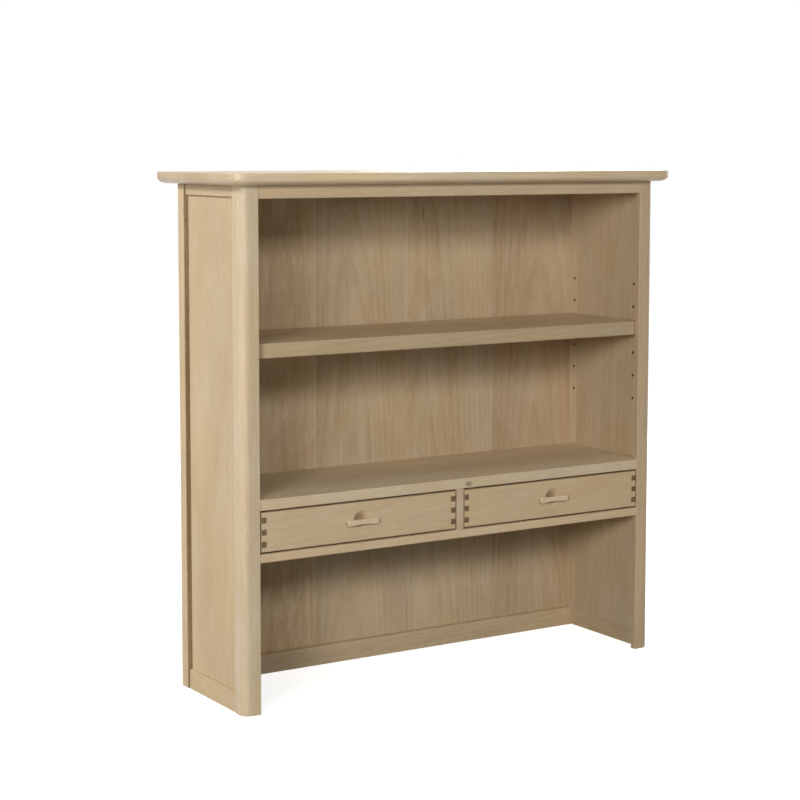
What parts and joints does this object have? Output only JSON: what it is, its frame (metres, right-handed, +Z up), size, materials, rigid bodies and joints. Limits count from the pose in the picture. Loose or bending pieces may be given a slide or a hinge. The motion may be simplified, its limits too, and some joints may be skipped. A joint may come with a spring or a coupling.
{
  "type": "dresser top rack with drawers",
  "caption": "Limed oak dresser rack: moulded top, framed sides, boarded back, a pinned shelf, a fixed shelf over dovetailed drawers with scooped bar handles, open base.",
  "frame": {"origin": "middle of the overall box in plan, on the plane that the posts stand on", "axes": "+X to the right seen from the front, +Y to the back, +Z up; the drawers open towards -Y"},
  "size_m": [1.06, 0.33, 1.044],
  "materials": {
    "limed_oak": "limed satin wax",
    "back_oak": "limed satin wax",
    "drawer_lining": "bare, sanded",
    "pin_steel": "plain"
  },
  "bodies": {
    "carcass": {"top_board": "limed_oak", "left_front_post": "limed_oak", "right_front_post": "limed_oak", "left_rear_post": "limed_oak", "right_rear_post": "limed_oak", "left_side_top_rail": "limed_oak", "right_side_top_rail": "limed_oak", "left_side_bottom_rail": "limed_oak", "right_side_bottom_rail": "limed_oak", "left_side_panel": "limed_oak", "right_side_panel": "limed_oak", "front_top_rail": "limed_oak", "back_top_rail": "back_oak", "back_bottom_rail": "back_oak", "back_board_1": "back_oak", "back_board_2": "back_oak", "back_board_3": "back_oak", "back_board_4": "back_oak", "back_board_5": "back_oak", "fixed_shelf": "limed_oak", "drawer_board": "limed_oak", "drawer_divider": "limed_oak", "left_drawer_guide": "back_oak", "right_drawer_guide": "back_oak", "drawer_stops": "back_oak", "shelf_pins": "pin_steel"},
    "left_drawer": {"left_drawer_front": "limed_oak", "left_drawer_left_side": "drawer_lining", "left_drawer_right_side": "drawer_lining", "left_drawer_back": "drawer_lining", "left_drawer_bottom": "drawer_lining", "left_drawer_handle": "limed_oak"},
    "right_drawer": {"right_drawer_front": "limed_oak", "right_drawer_left_side": "drawer_lining", "right_drawer_right_side": "drawer_lining", "right_drawer_back": "drawer_lining", "right_drawer_bottom": "drawer_lining", "right_drawer_handle": "limed_oak"},
    "adjustable_shelf": {"shelf_board": "limed_oak", "shelf_lip": "limed_oak"}
  },
  "joints": [
    {"name": "left_drawer_slide", "type": "slide", "parent": "carcass", "child": "left_drawer", "axis": [0, -1, 0], "range_m": [0, 0.18]},
    {"name": "right_drawer_slide", "type": "slide", "parent": "carcass", "child": "right_drawer", "axis": [0, -1, 0], "range_m": [0, 0.18]},
    {"name": "shelf_lift", "type": "slide", "parent": "carcass", "child": "adjustable_shelf", "axis": [0, 0, 1], "range_m": [0, 0.1]}
  ]
}
